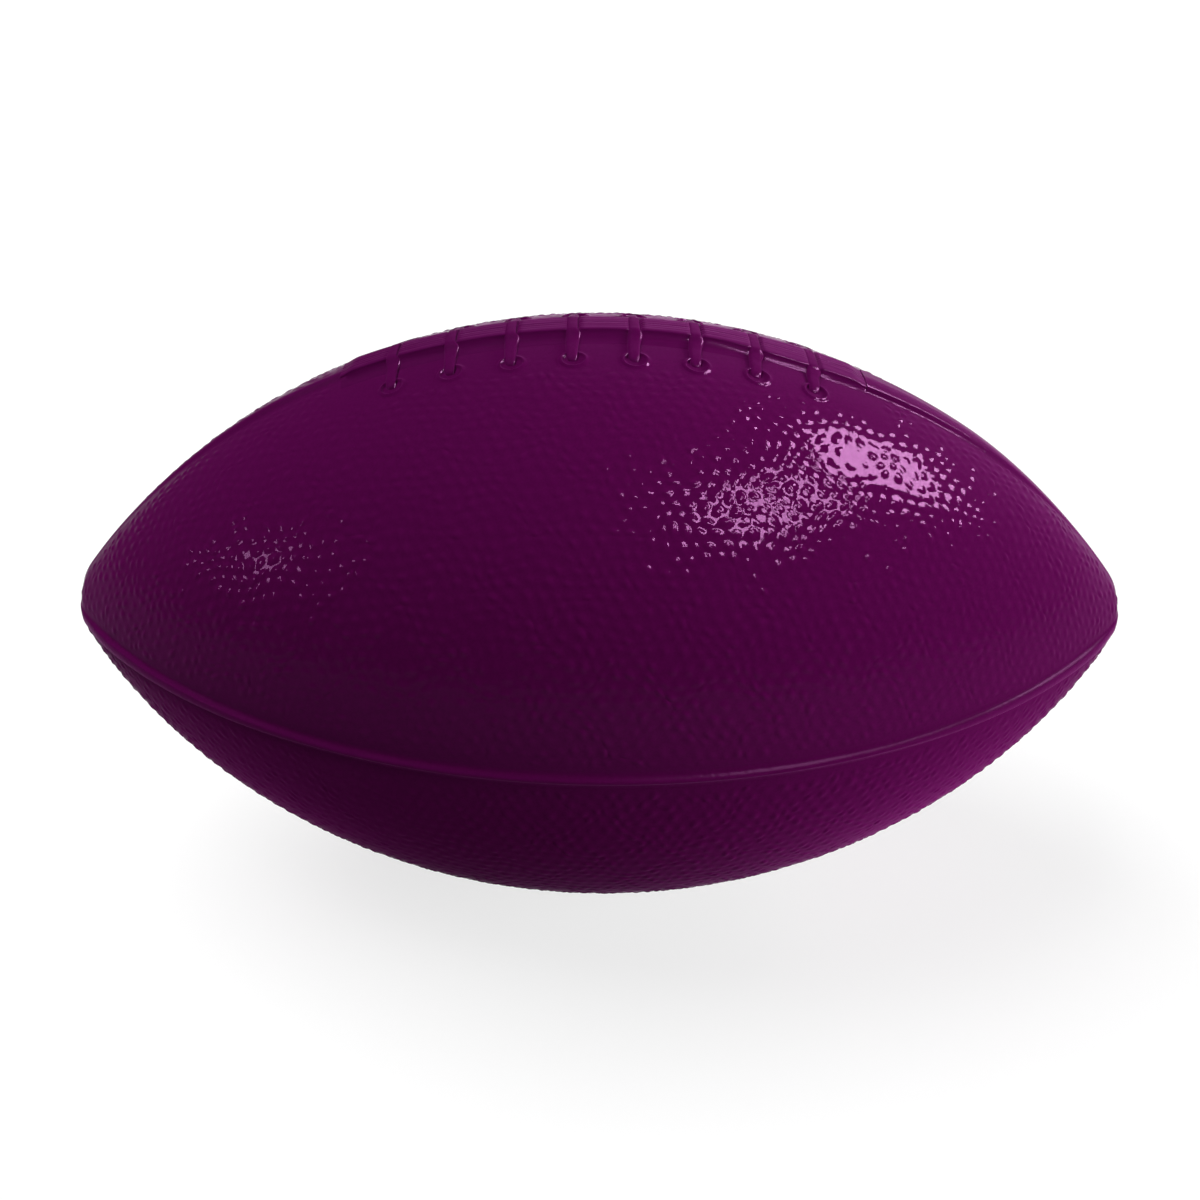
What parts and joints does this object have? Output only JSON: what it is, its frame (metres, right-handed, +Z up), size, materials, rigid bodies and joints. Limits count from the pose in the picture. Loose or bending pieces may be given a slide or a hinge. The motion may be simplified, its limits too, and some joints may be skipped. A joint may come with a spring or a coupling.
{
  "type": "american football",
  "caption": "Mini american football: pebble-grain cover panels, raised seam strips and lacing over a carcass and an air bladder with a pull-out plug valve.",
  "frame": {"origin": "middle of the ball, on its long axis", "axes": "+X along the ball from tip to tip, +Z up through the lacing, -Y towards the viewer of the picture"},
  "size_m": [0.1534, 0.0852, 0.0868],
  "materials": {
    "cover": "glossy moulded vinyl with a raised pebble grain, deep purple",
    "seam": "glossy moulded vinyl bead, deep purple",
    "lace": "glossy moulded vinyl lacing, deep purple",
    "lining": "wound nylon thread in latex",
    "bladder": "matt butyl rubber",
    "valve": "satin rubber, dark purple",
    "plug": "satin soft plastic, deep purple"
  },
  "bodies": {
    "ball": {"upper_front_panel": "cover", "upper_rear_panel": "cover", "lower_front_panel": "cover", "lower_rear_panel": "cover", "front_seam_strip": "seam", "rear_seam_strip": "seam", "bottom_seam_strip": "seam", "top_seam_strip_left": "seam", "top_seam_strip_right": "seam", "lace_backing_strip": "lace", "lace_strand_front": "lace", "lace_strand_rear": "lace", "cross_lace_1": "lace", "cross_lace_2": "lace", "cross_lace_3": "lace", "cross_lace_4": "lace", "cross_lace_5": "lace", "cross_lace_6": "lace", "cross_lace_7": "lace", "cross_lace_8": "lace", "carcass": "lining", "bladder": "bladder", "valve_housing": "valve"},
    "plug": {"valve_plug": "plug"}
  },
  "joints": [
    {"name": "plug_pull", "type": "slide", "parent": "ball", "child": "plug", "axis": [0, 0.7071, -0.7071], "range_m": [0, 0.012]}
  ]
}
